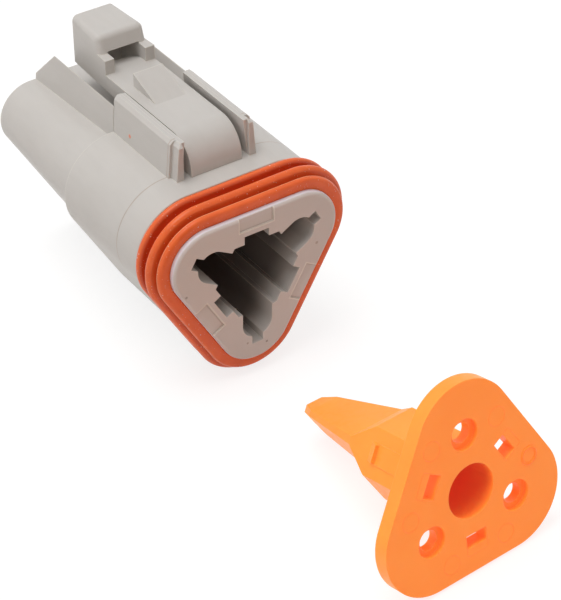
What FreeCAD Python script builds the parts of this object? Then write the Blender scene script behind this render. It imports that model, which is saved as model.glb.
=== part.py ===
import FreeCAD, Part
import math
import os
import Sketcher

# Three-way sealed plug with its wedge lock laid in front of it.
# Millimetres.  The origin is the centre of the mating face, the contacts run along +Y from it,
# +Z is the side of the latch.  Sections of the plug are triangles with rounded corners: the flat
# sides face up, lower left and lower right, and the corners carry the three contacts.

SIZES = {
    # Outer body: distance of a flat side from the axis and radius of a corner
    "body_flat": 10.9, "body_corner": 7.2, "collar_front": 5.6, "middle_rear": 22.8,
    "nose_flat": 9.1, "nose_corner": 5.2, "nose_edge": 0.5,
    # Mating cavity behind the nose face
    "contact_circle": 7.3, "lobe_radius": 2.2, "stem_gap": 0.2, "core_facet": 5.4,
    "key_half": 1.8, "key_wall": 6.3, "notch_half": 0.82, "notch_reach": 10.5,
    "cavity_depth": 17.0, "key_depth": 12.0, "notch_depth": 6.0, "passage_radius": 1.9,
    "panel_half": 2.45, "panel_foot": 7.1, "panel_depth": 0.2,
    # Rear shell, its chamber and the spigot that carries it
    "rear_end": 42.2, "rear_wall": 1.6, "rear_front_flat": 9.95, "rear_front_corner": 5.75,
    "rear_back_flat": 8.95, "chamber_flat": 7.6, "chamber_corner": 3.5, "spigot_gap": 0.1,
    "spigot_length": 4.0, "wire_hole_radius": 2.1,
    # Guard wings beside the latch and the rails behind them
    "wing_inner": 4.75, "wing_outer_base": 6.25, "wing_outer_top": 5.75, "wing_top": 16.0,
    "wing_edge": 0.45, "wing_front": 8.6, "wing_step": 9.95, "wing_inset": 0.4, "root_sink": 1.0,
    "rail_base": 6.45, "rail_crest": 5.9, "rail_height": 14.6, "rail_foot": 2.3,
    "rail_floor": 8.5, "rail_sink": 8.0, "slant_height": 9.8,
    # Latch arm
    "arm_half": 3.65, "arm_top": 15.4, "hinge_y": 9.8, "hinge_z": 10.9, "knuckle_radius": 1.2,
    "knuckle_gap": 0.03, "bend_radius": 4.0, "arm_under_front": 12.3, "arm_under_rear": 12.9,
    "arm_under_start": 14.2, "arm_end": 37.2, "arm_chamfer": 0.5, "tab_front": 30.6,
    "tab_lip": 29.9, "tab_under": 17.6, "tab_top": 19.65, "arm_rear_half": 3.1, "tab_edge": 0.8,
    "cheek_front": 28.35, "cheek_top": 17.4, "cheek_inner": 2.3, "window_front": 29.8,
    "window_rear": 34.5, "window_bulge": 1.0, "ramp_front": 18.9, "ramp_rear": 24.1, "ramp_top": 17.3,
    "ramp_half": 2.15, "arm_skin": 0.5,
    # Sealing ring on the nose
    "ring_front": 0.45, "band_flat": 9.9, "ring_chamfer": 0.3, "rib_one_y": 4.65,
    "rib_one_flat": 11.45, "rib_two_y": 2.45, "rib_two_flat": 11.55, "rib_three_y": 1.3,
    "rib_three_flat": 10.65, "rib_half": 0.6, "rib_edge": 0.35, "rib_three_half": 0.5,
    # Wire seal in the rear shell
    "wire_bore_radius": 1.0, "gland_sink": 0.5, "gland_half": 0.6,
    # Wedge lock
    "flange_flat": 10.35, "flange_corner": 6.9, "flange_thick": 1.9, "stem_flat": 4.95,
    "stem_facet": 4.8, "stem_end": 12.4, "shoulder_y": 16.0, "shoulder_flat": 2.8,
    "shoulder_facet": 4.75, "blade_y": 26.2, "blade_flat": 1.6, "blade_facet": 2.55,
    "tip_y": 28.2, "tip_flat": 1.2, "tip_facet": 1.6, "lock_bore_radius": 3.33,
    "lock_bore_depth": 10.5, "pin_hole_radius": 1.25, "pin_mouth_radius": 1.93,
    "pin_mouth_depth": 0.65, "port_half": 1.45, "port_inner": 5.45, "port_outer": 7.1,
    "nub_half": 1.1, "nub_front": 10.9, "nub_rear": 12.3, "nub_height": 0.75, "pad_half": 1.27,
    "pad_height": 0.15, "lock_x": 0.5, "lock_y": -41.5, "lock_yaw": 3.5, "lock_pitch": 13.0,
}

# A triangle's own directions, in degrees
CORNER_ANGLES = (30, 150, 270)
THIRDS = 3
# Ribs along the wire seal, at even distances
GLANDS = 3

document = FreeCAD.newDocument("sealed_plug")
sheet = document.addObject("Spreadsheet::Sheet", "sizes")
for row, (alias, number) in enumerate(SIZES.items(), start=1):
    sheet.set("A%d" % row, alias)
    sheet.set("B%d" % row, str(number))
    sheet.setAlias("B%d" % row, alias)
document.recompute()


def size(expression):
    """Number that an expression over the sheet gives."""
    return float(sheet.evalExpression(expression))


def close(first, second):
    """True for two lengths that are the same."""
    return abs(first - second) < 0.01


def names(expression):
    """Expression as other objects write it, with the sheet named before each alias."""
    text = ""
    word = ""
    for letter in expression + " ":
        if letter.isalnum() or letter == "_":
            word += letter
            continue
        text += ("sizes." + word if word in SIZES else word) + letter
        word = ""
    return text.strip()


def bind(thing, field, expression):
    """Ties one property of an object to the sheet."""
    thing.setExpression(field, names(expression))


def new_body(label):
    """Empty body whose label names the piece."""
    body = document.addObject("PartDesign::Body", label)
    body.Label = label
    return body


def origin_of(body, role):
    """One of a body's own planes or axes."""
    return [part for part in body.Origin.OriginFeatures if part.Role == role][0]


def section_sketch(body, name, station="0"):
    """Sketch across the contacts, at a distance behind the mating face."""
    sketch = body.newObject("Sketcher::SketchObject", name)
    sketch.AttachmentSupport = (origin_of(body, "XZ_Plane"), [""])
    sketch.MapMode = "FlatFace"
    bind(sketch, "AttachmentOffset.Base.z", "-(" + station + ")")
    return sketch


def side_sketch(body, name):
    """Sketch along the contacts, in the middle plane: its x is Y and its y is Z."""
    sketch = body.newObject("Sketcher::SketchObject", name)
    sketch.AttachmentSupport = (origin_of(body, "YZ_Plane"), [""])
    sketch.MapMode = "FlatFace"
    return sketch


def top_sketch(body, name):
    """Sketch seen from above, on the plane of the contacts: its x is X and its y is Y."""
    sketch = body.newObject("Sketcher::SketchObject", name)
    sketch.AttachmentSupport = (origin_of(body, "XY_Plane"), [""])
    sketch.MapMode = "FlatFace"
    return sketch


def hold(sketch, kind, *values, to=None):
    """Adds one constraint and ties its value to the sheet."""
    index = sketch.addConstraint(Sketcher.Constraint(kind, *values))
    if to is not None:
        bind(sketch, "Constraints[%d]" % index, to)


def place_point(sketch, line, end, x, z):
    """Holds a point at two coordinates, on an axis where one of them is nothing."""
    for kind, axis, expression in (("DistanceX", -2, x), ("DistanceY", -1, z)):
        if expression == "0":
            hold(sketch, "PointOnObject", line, end, axis)
        else:
            hold(sketch, kind, -1, 1, line, end, size(expression), to=expression)


def arc_between(start, finish, radius, turn):
    """Short arc from start to finish: turn is 1 for counter-clockwise and -1 for clockwise."""
    chord = finish.sub(start)
    middle = start.add(chord.multiply(0.5))
    half = start.distanceToPoint(finish) / 2
    across = FreeCAD.Vector(start.y - finish.y, finish.x - start.x, 0).normalize()
    centre = middle.add(across.multiply(turn * math.sqrt(max(radius**2 - half**2, 0))))
    first, last = (start, finish) if turn > 0 else (finish, start)
    angles = [math.atan2(point.y - centre.y, point.x - centre.x) for point in (first, last)]
    if angles[1] < angles[0]:
        angles[1] += 2 * math.pi
    circle = Part.Circle(centre, FreeCAD.Vector(0, 0, 1), radius)
    return Part.ArcOfCircle(circle, angles[0], angles[1])


def outline(sketch, points):
    """Closed outline: each point is (x, z), or (x, z, radius, turn) where an arc leaves it."""
    places = [FreeCAD.Vector(size(point[0]), size(point[1]), 0) for point in points]
    ends = []
    for number, point in enumerate(points):
        start = places[number]
        finish = places[(number + 1) % len(points)]
        if len(point) == 2:
            index = sketch.addGeometry(Part.LineSegment(start, finish))
            ends.append((index, 1, 2))
        else:
            index = sketch.addGeometry(arc_between(start, finish, size(point[2]), point[3]))
            ends.append((index, 1, 2) if point[3] > 0 else (index, 2, 1))
            if close(start.distanceToPoint(finish), 2 * size(point[2])):
                hold(sketch, "DistanceY", -1, 1, index, 3, size(point[1]), to=point[1])
            else:
                hold(sketch, "Radius", index, size(point[2]), to=point[2])
    for number, (index, first, last) in enumerate(ends):
        following = ends[(number + 1) % len(ends)]
        hold(sketch, "Coincident", index, last, following[0], following[1])
        place_point(sketch, index, first, points[number][0], points[number][1])


def rounded_triangle(sketch, flat, corner, turned=False):
    """Triangle with rounded corners; turned puts one corner straight up."""
    reach = 2 * (size(flat) - size(corner))
    radius = size(corner)
    side = 180 if turned else 0
    arcs = []
    lines = []
    for angle in CORNER_ANGLES:
        toward = math.radians(angle + side)
        centre = FreeCAD.Vector(reach * math.cos(toward), reach * math.sin(toward), 0)
        circle = Part.Circle(centre, FreeCAD.Vector(0, 0, 1), radius)
        spread = math.radians(60)
        arcs.append(sketch.addGeometry(Part.ArcOfCircle(circle, toward - spread, toward + spread)))
    for number in range(THIRDS):
        before = sketch.Geometry[arcs[number]].EndPoint
        after = sketch.Geometry[arcs[(number + 1) % THIRDS]].StartPoint
        lines.append(sketch.addGeometry(Part.LineSegment(before, after)))
    for number in range(THIRDS):
        hold(sketch, "Tangent", arcs[number], 2, lines[number], 1)
        hold(sketch, "Tangent", lines[number], 2, arcs[(number + 1) % THIRDS], 1)
        hold(sketch, "Distance", -1, 1, lines[number], size(flat), to=flat)
    hold(sketch, "Horizontal", lines[0])
    hold(sketch, "Angle", lines[1], 1, lines[0], 2, math.radians(60))
    hold(sketch, "Angle", lines[2], 1, lines[1], 2, math.radians(60))
    hold(sketch, "Equal", arcs[0], arcs[1])
    hold(sketch, "Equal", arcs[0], arcs[2])
    hold(sketch, "Radius", arcs[0], radius, to=corner)


def cut_triangle(sketch, flat, facet):
    """Triangle whose corners are cut square: flats face 90 degrees, facets face 30 degrees."""
    half = "((2*(%s)-(%s))/sqrt(3))"
    flat_half = half % (facet, flat)
    facet_half = half % (flat, facet)
    corners = []
    for angle, distance, width in (
        (30, facet, facet_half), (90, flat, flat_half), (150, facet, facet_half),
        (210, flat, flat_half), (270, facet, facet_half), (330, flat, flat_half),
    ):
        along = "(%s)*cos(%d deg)+%s*sin(%d deg)" % (distance, angle, width, angle)
        above = "(%s)*sin(%d deg)-%s*cos(%d deg)" % (distance, angle, width, angle)
        corners.append((along, above))
    outline(sketch, corners)


def circle(sketch, x, z, radius):
    """Circle round a point."""
    centre = FreeCAD.Vector(size(x), size(z), 0)
    index = sketch.addGeometry(Part.Circle(centre, FreeCAD.Vector(0, 0, 1), size(radius)))
    hold(sketch, "Radius", index, size(radius), to=radius)
    place_point(sketch, index, 3, x, z)


def pad(body, sketch, length, name):
    """Grows a section toward the rear."""
    feature = body.newObject("PartDesign::Pad", name)
    feature.Profile = sketch
    feature.Reversed = True
    bind(feature, "Length", length)
    return feature


def pad_across(body, sketch, half, name):
    """Grows a side view to both sides of the middle plane."""
    feature = body.newObject("PartDesign::Pad", name)
    feature.Profile = sketch
    feature.SideType = "Symmetric"
    bind(feature, "Length", "2*(%s)" % half)
    return feature


def pocket(body, sketch, depth, name):
    """Cuts a section toward the rear."""
    feature = body.newObject("PartDesign::Pocket", name)
    feature.Profile = sketch
    feature.Reversed = False
    bind(feature, "Length", depth)
    return feature


def pocket_across(body, sketch, half, name):
    """Cuts a side view to both sides of the middle plane."""
    feature = body.newObject("PartDesign::Pocket", name)
    feature.Profile = sketch
    feature.SideType = "Symmetric"
    bind(feature, "Length", "2*(%s)" % half)
    return feature


def by_thirds(body, feature, name):
    """Repeats a feature three times round the axis of the plug."""
    pattern = body.newObject("PartDesign::PolarPattern", name)
    pattern.Originals = [feature]
    pattern.Axis = (origin_of(body, "Y_Axis"), [""])
    pattern.Angle = 360
    pattern.Occurrences = THIRDS
    body.Tip = pattern
    return pattern


def both_sides(body, features, name):
    """Repeats features on the other side of the middle plane."""
    pattern = body.newObject("PartDesign::Mirrored", name)
    pattern.Originals = features
    pattern.MirrorPlane = (origin_of(body, "YZ_Plane"), [""])
    body.Tip = pattern
    return pattern


def edges_where(feature, test):
    """Names of a shape's edges that pass a test."""
    document.recompute()
    edges = feature.Shape.Edges
    return ["Edge%d" % (number + 1) for number, edge in enumerate(edges) if test(edge)]


def rim_edges(feature, flat, corner, *stations):
    """Edges of a rounded triangle's outline at given distances behind the face."""
    reach = math.hypot(size(flat), math.sqrt(3) * (size(flat) - size(corner)))
    places = [size(station) for station in stations]

    def on_rim(edge):
        return all(close(math.hypot(vertex.X, vertex.Z), reach) and any(
            close(vertex.Y, place) for place in places) for vertex in edge.Vertexes) and (
            edge.BoundBox.YLength < 0.01)
    return edges_where(feature, on_rim)


def cavity(body):
    """Mating cavity: a core, three contact lobes, three keys and three small notches."""
    core = section_sketch(body, "core_outline")
    cut_triangle(core, "stem_flat+stem_gap", "core_facet")
    pocket(body, core, "cavity_depth", "core_cut")
    socket = section_sketch(body, "blade_socket_outline", "cavity_depth")
    cut_triangle(socket, "shoulder_flat", "shoulder_facet")
    pocket(body, socket, "middle_rear+spigot_length-cavity_depth", "blade_socket")
    lobe = section_sketch(body, "lobe_outline")
    outline(lobe, [
        ("-lobe_radius", "0"), ("-lobe_radius", "-contact_circle", "lobe_radius", 1),
        ("lobe_radius", "-contact_circle"), ("lobe_radius", "0"),
    ])
    by_thirds(body, pocket(body, lobe, "cavity_depth", "lobe_cut"), "lobe_cuts")
    notch = section_sketch(body, "notch_outline")
    outline(notch, [
        ("-notch_half", "-contact_circle"), ("-notch_half", "-notch_reach"),
        ("notch_half", "-notch_reach"), ("notch_half", "-contact_circle"),
    ])
    by_thirds(body, pocket(body, notch, "notch_depth", "notch_cut"), "notch_cuts")
    key = section_sketch(body, "key_outline")
    outline(key, [
        ("-key_half", "stem_flat-key_half"), ("key_half", "stem_flat-key_half"),
        ("key_half", "key_wall"), ("-key_half", "key_wall"),
    ])
    by_thirds(body, pocket(body, key, "key_depth", "key_cut"), "key_cuts")
    passage = section_sketch(body, "passage_outline", "cavity_depth")
    circle(passage, "0", "-contact_circle", "passage_radius")
    by_thirds(body, pocket(body, passage, "rear_end", "passage_cut"), "passage_cuts")


def wings(body):
    """Guard wings: a leaning plate each side of the latch, set in at its front end."""
    made = []
    for name, station, length, inset in (
        ("wing", "wing_step", "middle_rear-wing_step", "0"),
        ("wing_end", "wing_front", "wing_step-wing_front", "wing_inset"),
    ):
        sketch = section_sketch(body, name + "_outline", station)
        base = "body_flat-root_sink"
        top = "wing_outer_top-%s" % inset
        outline(sketch, [
            ("wing_inner", base), ("wing_outer_base-%s" % inset, base),
            (top, "wing_top-wing_edge"), (top + "-wing_edge", "wing_top"),
            ("wing_inner", "wing_top"),
        ])
        made.append(pad(body, sketch, length, name))
    both_sides(body, made, "wings")
    corner = side_sketch(body, "wing_corner_outline")
    outline(corner, [
        ("wing_front-wing_edge", "wing_top-2*wing_edge"),
        ("wing_front+2*wing_edge", "wing_top+wing_edge"),
        ("wing_front-wing_edge", "wing_top+wing_edge"),
    ])
    pocket_across(body, corner, "wing_outer_base", "wing_corners")


def front_shell():
    """Nose, collar and middle of the housing, with the cavity and the guard wings."""
    body = new_body("front_shell")
    nose = section_sketch(body, "nose_outline")
    rounded_triangle(nose, "nose_flat", "nose_corner")
    nose_block = pad(body, nose, "collar_front", "nose")
    lip = body.newObject("PartDesign::Fillet", "nose_rounding")
    lip.Base = (nose_block, rim_edges(nose_block, "nose_flat", "nose_corner", "0"))
    bind(lip, "Radius", "nose_edge")
    middle = section_sketch(body, "middle_outline", "collar_front")
    rounded_triangle(middle, "body_flat", "body_corner")
    pad(body, middle, "middle_rear-collar_front", "middle")
    spigot = section_sketch(body, "spigot_outline", "middle_rear")
    rounded_triangle(spigot, "chamber_flat-spigot_gap", "chamber_corner-spigot_gap")
    pad(body, spigot, "spigot_length", "spigot")
    wings(body)
    cavity(body)
    panel = section_sketch(body, "panel_outline")
    outline(panel, [
        ("-panel_half", "panel_foot"), ("panel_half", "panel_foot"),
        ("panel_half", "nose_flat+panel_depth"), ("-panel_half", "nose_flat+panel_depth"),
    ])
    by_thirds(body, pocket(body, panel, "panel_depth", "panel_cut"), "panel_cuts")
    socket = side_sketch(body, "knuckle_socket_outline")
    circle(socket, "hinge_y", "hinge_z", "knuckle_radius+knuckle_gap")
    pocket_across(body, socket, "arm_half+knuckle_gap", "knuckle_socket")
    return body


def rear_shell():
    """Cover behind the middle: it tapers to a closed rear wall with three wire holes."""
    body = new_body("rear_shell")
    front = section_sketch(body, "cover_outline", "middle_rear")
    rounded_triangle(front, "rear_front_flat", "rear_front_corner")
    cover = pad(body, front, "rear_end-middle_rear", "cover")
    bind(cover, "TaperAngle", "-atan((rear_front_flat-rear_back_flat)/(rear_end-middle_rear))")
    rail = section_sketch(body, "rail_outline", "middle_rear")
    outline(rail, [
        ("rail_foot", "rail_sink"), ("rail_base", "rail_sink"),
        ("rail_crest", "rail_height"), ("rail_foot", "rail_floor"),
    ])
    both_sides(body, [pad(body, rail, "rear_end-middle_rear", "rail")], "rails")
    slant = side_sketch(body, "slant_outline")
    outline(slant, [
        ("rear_end-(rail_height-slant_height)-root_sink", "rail_height+root_sink"),
        ("rear_end+root_sink", "slant_height-root_sink"),
        ("rear_end+root_sink", "rail_height+root_sink"),
    ])
    pocket_across(body, slant, "rail_base+root_sink", "slant_cut")
    chamber = section_sketch(body, "chamber_outline", "middle_rear")
    rounded_triangle(chamber, "chamber_flat", "chamber_corner")
    pocket(body, chamber, "rear_end-rear_wall-middle_rear", "chamber")
    hole = section_sketch(body, "wire_hole_outline", "middle_rear")
    circle(hole, "0", "-contact_circle", "wire_hole_radius")
    by_thirds(body, pocket(body, hole, "rear_end", "wire_hole"), "wire_holes")
    return body


def add_rib(body, name, station, half, flat, corner, width):
    """Rib with broken edges that stands out all round, centred on a station."""
    sketch = section_sketch(body, name + "_outline", "%s-%s" % (station, half))
    rounded_triangle(sketch, flat, corner)
    rib = pad(body, sketch, "2*" + half, name)
    ends = [sign % (station, half) for sign in ("%s-%s", "%s+%s")]
    edge = body.newObject("PartDesign::Chamfer", name + "_edges")
    edge.Base = (rib, rim_edges(rib, flat, corner, *ends))
    bind(edge, "Size", width)


def wire_seal():
    """Soft block inside the rear shell, with a bore for each wire."""
    body = new_body("wire_seal")
    front = "middle_rear+spigot_length"
    length = "(rear_end-rear_wall-middle_rear-spigot_length)"
    block = section_sketch(body, "block_outline", front)
    rounded_triangle(block, "chamber_flat-gland_sink", "chamber_corner-gland_sink")
    pad(body, block, length, "block")
    for number in range(GLANDS):
        station = "%s+%s*(%d+1/2)/%d-gland_half" % (front, length, number, GLANDS)
        gland = section_sketch(body, "gland_%d_outline" % (number + 1), station)
        rounded_triangle(gland, "chamber_flat", "chamber_corner")
        pad(body, gland, "2*gland_half", "gland_%d" % (number + 1))
    bore = section_sketch(body, "bore_outline", front)
    circle(bore, "0", "-contact_circle", "wire_bore_radius")
    by_thirds(body, pocket(body, bore, "rear_end", "bore"), "bores")
    return body


def mating_seal():
    """Soft ring round the nose with three ribs that rise toward the collar."""
    body = new_body("mating_seal")
    band = section_sketch(body, "band_outline", "ring_front")
    grow = "nose_corner-nose_flat+"
    rounded_triangle(band, "band_flat", grow + "band_flat")
    band_block = pad(body, band, "collar_front-ring_front", "band")
    rim = rim_edges(band_block, "band_flat", grow + "band_flat", "ring_front")
    edge = body.newObject("PartDesign::Chamfer", "band_edge")
    edge.Base = (band_block, rim)
    bind(edge, "Size", "ring_chamfer")
    for name in ("rib_one", "rib_two"):
        flat = name + "_flat"
        add_rib(body, name, name + "_y", "rib_half", flat, grow + flat, "rib_edge")
    front_rib = section_sketch(body, "rib_three_outline", "rib_three_y-rib_three_half")
    rounded_triangle(front_rib, "rib_three_flat", grow + "rib_three_flat")
    pad(body, front_rib, "2*rib_three_half", "rib_three")
    seat = section_sketch(body, "seat_outline")
    rounded_triangle(seat, "nose_flat", "nose_corner")
    pocket(body, seat, "collar_front", "seat")
    return body


def latch_arm():
    """Sprung arm with its ramp, its two cheeks and the thumb tab."""
    body = new_body("latch_arm")
    side = side_sketch(body, "arm_outline")
    front = "hinge_y-knuckle_radius"
    inner = "bend_radius-2*knuckle_radius"
    bend_z = "arm_top-bend_radius"
    outline(side, [
        (front, "hinge_z", "knuckle_radius", 1), ("hinge_y+knuckle_radius", "hinge_z"),
        ("hinge_y+knuckle_radius", bend_z), ("arm_under_start", "arm_under_front"),
        ("arm_end", "arm_under_rear"), ("arm_end", "arm_top"),
        (front + "+bend_radius", "arm_top", "bend_radius", 1), (front, bend_z),
    ])
    arm = pad_across(body, side, "arm_half", "arm")
    lower = edges_where(arm, lambda edge: edge.BoundBox.ZMax < size("arm_under_rear") + 0.01
                        and edge.BoundBox.YLength > size("arm_end-arm_under_start") - 0.01)
    chamfer = body.newObject("PartDesign::Chamfer", "arm_lower_edges")
    chamfer.Base = (arm, lower)
    bind(chamfer, "Size", "arm_chamfer")
    cheek = side_sketch(body, "cheek_outline")
    outline(cheek, [
        ("cheek_front", "arm_top-arm_skin"), ("arm_end", "arm_top-arm_skin"),
        ("arm_end", "cheek_top"), ("cheek_front", "cheek_top"),
    ])
    pad_across(body, cheek, "arm_half", "cheeks")
    tab = side_sketch(body, "tab_outline")
    outline(tab, [
        ("tab_lip", "cheek_top"), ("tab_lip", "arm_top-arm_skin"), ("arm_end", "arm_top-arm_skin"),
        ("arm_end", "tab_top"), ("tab_front", "tab_top"),
    ])
    pad_across(body, tab, "arm_half", "tab")
    taper = top_sketch(body, "taper_outline")
    outline(taper, [
        ("arm_half", "cheek_front"), ("arm_half+root_sink", "cheek_front"),
        ("arm_half+root_sink", "arm_end"), ("arm_rear_half", "arm_end"),
    ])
    side_cut = pocket(body, taper, "tab_top+root_sink", "taper_cut")
    side_cut.Reversed = True
    block = both_sides(body, [side_cut], "taper_cuts")
    rounding = body.newObject("PartDesign::Fillet", "tab_rounding")
    rounding.Base = (block, edges_where(block, lambda edge: edge.BoundBox.ZMax > size(
        "tab_top") - 0.01 and edge.BoundBox.YMin < size("arm_end") - 0.01))
    bind(rounding, "Radius", "tab_edge")
    gap = side_sketch(body, "cheek_gap_outline")
    outline(gap, [
        ("cheek_front-arm_skin", "arm_top"), ("window_rear", "arm_top"),
        ("window_rear", "tab_under"), ("cheek_front-arm_skin", "tab_under"),
    ])
    pocket_across(body, gap, "cheek_inner", "cheek_gap")
    window = top_sketch(body, "window_outline")
    outline(window, [
        ("cheek_inner", "window_rear"), ("-cheek_inner", "window_rear"),
        ("-cheek_inner", "window_front",
         "(cheek_inner^2+window_bulge^2)/(2*window_bulge)", -1),
        ("cheek_inner", "window_front"),
    ])
    opening = pocket(body, window, "tab_under", "window")
    opening.Reversed = True
    ramp = side_sketch(body, "ramp_outline")
    outline(ramp, [
        ("ramp_front", "arm_top"), ("ramp_front", "arm_top-arm_skin"),
        ("ramp_rear", "arm_top-arm_skin"), ("ramp_rear", "ramp_top"),
    ])
    pad_across(body, ramp, "ramp_half", "ramp")
    return body


def lock_blade(body):
    """Stem, shoulder and blade: a bar with its flats and facets cut back in steps."""
    bar = section_sketch(body, "stem_outline", "flange_thick")
    cut_triangle(bar, "stem_flat", "stem_facet")
    pad(body, bar, "tip_y-flange_thick", "stem")
    stations = ("stem_end", "shoulder_y", "blade_y", "tip_y")
    for kind, sign in (("flat", ""), ("facet", "-")):
        levels = [sign + name + "_" + kind for name in ("stem", "shoulder", "blade", "tip")]
        outside = sign + "flange_flat"
        sketch = side_sketch(body, kind + "_slope_outline")
        outline(sketch, list(zip(stations, levels)) + [
            ("tip_y+root_sink", levels[-1]), ("tip_y+root_sink", outside), ("stem_end", outside),
        ])
        by_thirds(body, pocket_across(body, sketch, "flange_flat", kind + "_slope"),
                  kind + "_slopes")


def wedge_lock():
    """Lock that holds the contacts: a flange, a six-sided stem with nubs and a blade."""
    body = new_body("wedge_lock")
    flange = section_sketch(body, "flange_outline")
    rounded_triangle(flange, "flange_flat", "flange_corner", turned=True)
    pad(body, flange, "flange_thick", "flange")
    lock_blade(body)
    land = section_sketch(body, "pad_outline", "flange_thick")
    outline(land, [
        ("-pad_half", "-stem_facet+pad_height"), ("-pad_half", "-stem_facet-pad_height"),
        ("pad_half", "-stem_facet-pad_height"), ("pad_half", "-stem_facet+pad_height"),
    ])
    by_thirds(body, pad(body, land, "nub_front-flange_thick", "stem_pad"), "stem_pads")
    nub = side_sketch(body, "nub_outline")
    outline(nub, [
        ("nub_front", "-stem_facet+pad_height"), ("nub_front", "-stem_facet-nub_height"),
        ("nub_rear", "-stem_facet"), ("nub_rear", "-stem_facet+pad_height"),
    ])
    by_thirds(body, pad_across(body, nub, "nub_half", "nub"), "nubs")
    bore = section_sketch(body, "lock_bore_outline")
    circle(bore, "0", "0", "lock_bore_radius")
    pocket(body, bore, "lock_bore_depth", "lock_bore")
    mouth = section_sketch(body, "pin_mouth_outline")
    circle(mouth, "0", "contact_circle", "pin_mouth_radius")
    by_thirds(body, pocket(body, mouth, "pin_mouth_depth", "pin_mouth"), "pin_mouths")
    hole = section_sketch(body, "pin_hole_outline")
    circle(hole, "0", "contact_circle", "pin_hole_radius")
    by_thirds(body, pocket(body, hole, "flange_thick", "pin_hole"), "pin_holes")
    port = section_sketch(body, "port_outline")
    outline(port, [
        ("-port_half", "-port_outer"), ("port_half", "-port_outer"),
        ("port_half", "-port_inner"), ("-port_half", "-port_inner"),
    ])
    by_thirds(body, pocket(body, port, "flange_thick", "port"), "ports")
    lay_down(body)
    return body


def lay_down(body):
    """Stands the flange's lower side level with the plug's lowest point, stem to the rear."""
    body.Placement.Rotation = FreeCAD.Rotation(size("lock_yaw"), 0, -size("lock_pitch"))
    bind(body, "Placement.Base.x", "lock_x")
    bind(body, "Placement.Base.y", "lock_y")
    lowest = "nose_flat-nose_corner+rib_two_flat"
    lift = "flange_flat*cos(lock_pitch*1 deg)+flange_thick*sin(lock_pitch*1 deg)"
    bind(body, "Placement.Base.z", "-(%s)+%s" % (lowest, lift))


def check_document():
    """Stops where a feature failed or a section was left free to move."""
    for thing in document.Objects:
        for fault in ("Invalid", "Error"):
            if fault in thing.State:
                raise RuntimeError("%s is %s" % (thing.Name, fault))


def main():
    """Builds the pieces and writes one file for each."""
    pieces = [front_shell(), rear_shell(), wire_seal(), mating_seal(), latch_arm(), wedge_lock()]
    document.recompute()
    check_document()
    for piece in pieces:
        shape = piece.Shape
        if shape.isNull() or not shape.isValid():
            raise RuntimeError("%s has no sound shape" % piece.Label)
    os.makedirs("parts", exist_ok=True)
    for piece in pieces:
        shape = piece.Shape
        shape.exportStep(os.path.join("parts", piece.Label + ".step"))
        box = shape.BoundBox
        print("%-12s solids %d volume %9.1f  x %.2f %.2f  y %.2f %.2f  z %.2f %.2f" % (
            piece.Label, len(shape.Solids), shape.Volume, box.XMin, box.XMax, box.YMin,
            box.YMax, box.ZMin, box.ZMax))


main()
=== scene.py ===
import sys
import logging
import math
from dataclasses import dataclass
from enum import Enum
from typing import Union

import bmesh
import bpy
import numpy as np
from mathutils import Matrix, Vector


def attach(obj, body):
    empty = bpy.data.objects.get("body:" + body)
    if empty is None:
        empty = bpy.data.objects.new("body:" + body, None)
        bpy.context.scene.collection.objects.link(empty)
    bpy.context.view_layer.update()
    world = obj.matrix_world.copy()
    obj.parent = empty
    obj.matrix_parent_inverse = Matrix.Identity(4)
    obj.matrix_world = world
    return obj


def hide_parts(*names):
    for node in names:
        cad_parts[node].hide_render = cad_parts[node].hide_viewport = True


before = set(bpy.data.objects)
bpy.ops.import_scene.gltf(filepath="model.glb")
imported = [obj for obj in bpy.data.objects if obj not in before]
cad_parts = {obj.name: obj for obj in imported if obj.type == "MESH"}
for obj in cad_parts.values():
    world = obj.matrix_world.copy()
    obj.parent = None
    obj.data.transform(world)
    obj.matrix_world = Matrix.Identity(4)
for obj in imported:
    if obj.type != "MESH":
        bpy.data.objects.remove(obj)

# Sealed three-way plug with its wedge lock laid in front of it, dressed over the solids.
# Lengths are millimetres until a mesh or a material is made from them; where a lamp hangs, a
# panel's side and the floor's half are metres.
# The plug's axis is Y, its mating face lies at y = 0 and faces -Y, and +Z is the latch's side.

logging.basicConfig(level=logging.INFO, format="%(message)s", stream=sys.stdout)
log = logging.getLogger("sealed_plug")

# Directions of the plug's corners and flats and half of a corner's sweep, in degrees; a number
# that counts as none; and how near two points are when they become one.
MM = 0.001
CORNERS = (30.0, 150.0, 270.0)
FLATS = (90.0, 210.0, 330.0)
HALF_CORNER = 60.0
TINY = 1e-9
MERGE = 1e-3

Colour = tuple[float, float, float]
Point = tuple[float, float, float]
Span = tuple[float, float]
Socket = bpy.types.NodeSocket
Input = Union[Socket, float, Colour, tuple]


class Body(Enum):
    """The body that new pieces ride on. The latch's solid rides on its own already."""

    PLUG = "plug"


class Slot(Enum):
    """The finishes that the record names."""

    HOUSING = "housing"
    SEAL = "seal"
    LOCK = "lock"


# Surfaces: grids of points that become closed meshes.


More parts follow.
